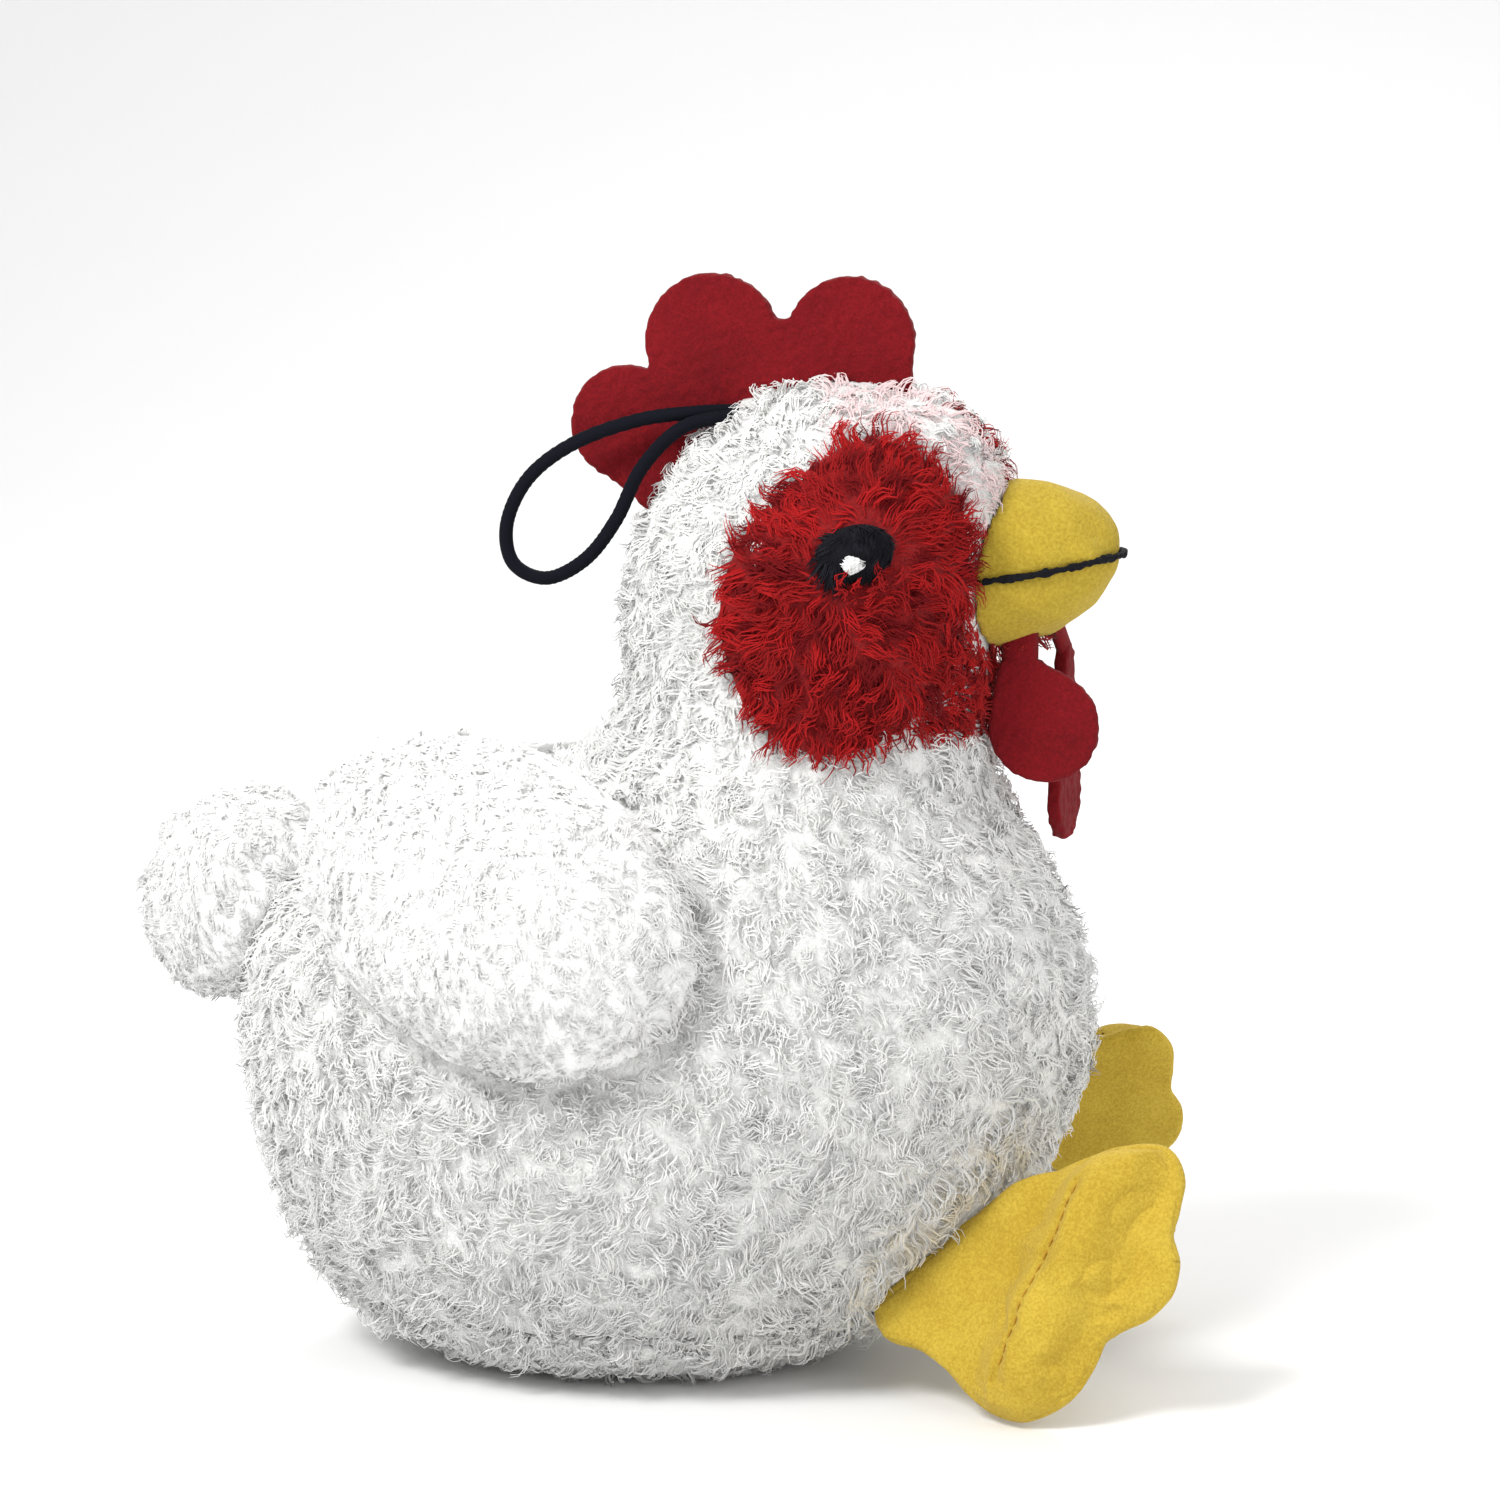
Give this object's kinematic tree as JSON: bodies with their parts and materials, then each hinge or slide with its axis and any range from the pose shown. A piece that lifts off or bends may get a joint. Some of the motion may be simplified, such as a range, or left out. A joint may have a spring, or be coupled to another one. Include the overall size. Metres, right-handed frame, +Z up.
{
  "type": "plush hen squeeze toy",
  "caption": "Sitting plush hen with felt comb and wattles, fleece beak and feet, hinged wings, a hanging loop and a squeeze sound box inside.",
  "frame": {"origin": "on the floor under the middle of the toy's bounding box, the hanging cord left out", "axes": "+X towards the beak, +Y to the hen's left, +Z up"},
  "size_m": [0.1886, 0.12, 0.191],
  "materials": {
    "white_pile": "long curly white plush",
    "short_pile": "short dense white plush",
    "lining": "smooth white knit",
    "red_pile": "long red plush",
    "red_felt": "matt red felt",
    "yellow_fleece": "brushed yellow fleece",
    "black_thread": "black embroidery thread",
    "white_thread": "white embroidery thread",
    "black_cord": "black braided cord",
    "stuffing": "loose polyester fibre",
    "pouch": "thin woven cloth",
    "box_plastic": "moulded white plastic",
    "button_plastic": "moulded red plastic",
    "board": "green circuit board",
    "chip": "black epoxy",
    "steel": "bright steel",
    "contact": "sprung brass strip",
    "wire": "red wire insulation",
    "speaker": "grey speaker frame"
  },
  "bodies": {
    "hen": {"body_panel_right": "white_pile", "body_panel_left": "white_pile", "belly_gusset": "white_pile", "body_stuffing": "stuffing", "tail": "short_pile", "face_patch_right": "red_pile", "face_patch_left": "red_pile", "eye_right": "black_thread", "eye_left": "black_thread", "eye_glint_right": "white_thread", "eye_glint_left": "white_thread", "comb": "red_felt", "beak_upper": "yellow_fleece", "beak_lower": "yellow_fleece", "mouth_yarn": "black_thread", "hang_loop": "black_cord", "sound_pouch": "pouch", "sound_case_top": "box_plastic", "sound_case_base": "box_plastic", "battery_tray": "box_plastic", "button_cells": "steel", "cell_contacts": "contact", "circuit_board": "board", "chip_blob": "chip", "speaker": "speaker", "speaker_wires": "wire", "case_screws": "steel", "button_spring": "steel"},
    "wing_right": {"wing_right_cover": "short_pile", "wing_right_filling": "stuffing", "wing_right_lining": "lining"},
    "wing_left": {"wing_left_cover": "short_pile", "wing_left_filling": "stuffing", "wing_left_lining": "lining"},
    "foot_right": {"foot_right_upper": "yellow_fleece", "foot_right_padding": "stuffing", "foot_right_sole": "yellow_fleece"},
    "foot_left": {"foot_left_upper": "yellow_fleece", "foot_left_padding": "stuffing", "foot_left_sole": "yellow_fleece"},
    "wattle_right": {"wattle_right": "red_felt"},
    "wattle_left": {"wattle_left": "red_felt"},
    "button": {"push_button": "button_plastic"}
  },
  "joints": [
    {"name": "wing_right_flap", "type": "hinge", "parent": "hen", "child": "wing_right", "pos_m": [0.0146, -0.045, 0.0805], "axis": [0, 0.2167, 0.9762], "range_deg": [0, 60]},
    {"name": "wing_left_flap", "type": "hinge", "parent": "hen", "child": "wing_left", "pos_m": [0.0149, 0.045, 0.0805], "axis": [0, 0.2167, -0.9762], "range_deg": [0, 60]},
    {"name": "foot_right_fold", "type": "hinge", "parent": "hen", "child": "foot_right", "pos_m": [0.06097, -0.02361, 0.03478], "axis": [-0.7405, -0.0722, -0.6681], "range_deg": [0, 35]},
    {"name": "foot_left_fold", "type": "hinge", "parent": "hen", "child": "foot_left", "pos_m": [0.05466, 0.03222, 0.03916], "axis": [0.6607, -0.1313, 0.7391], "range_deg": [0, 35]},
    {"name": "wattle_right_swing", "type": "hinge", "parent": "hen", "child": "wattle_right", "pos_m": [0.0674, -0.0052, 0.1269], "axis": [-1, 0, 0], "range_deg": [-6, 60]},
    {"name": "wattle_left_swing", "type": "hinge", "parent": "hen", "child": "wattle_left", "pos_m": [0.0696, 0.011, 0.1269], "axis": [-0.1392, -0.9903, 0], "range_deg": [-5, 60]},
    {"name": "button_press", "type": "slide", "parent": "hen", "child": "button", "axis": [0, 0, -1], "range_m": [0, 0.0015], "stiffness_N_per_m": 400, "deforming": ["button_spring"]}
  ]
}
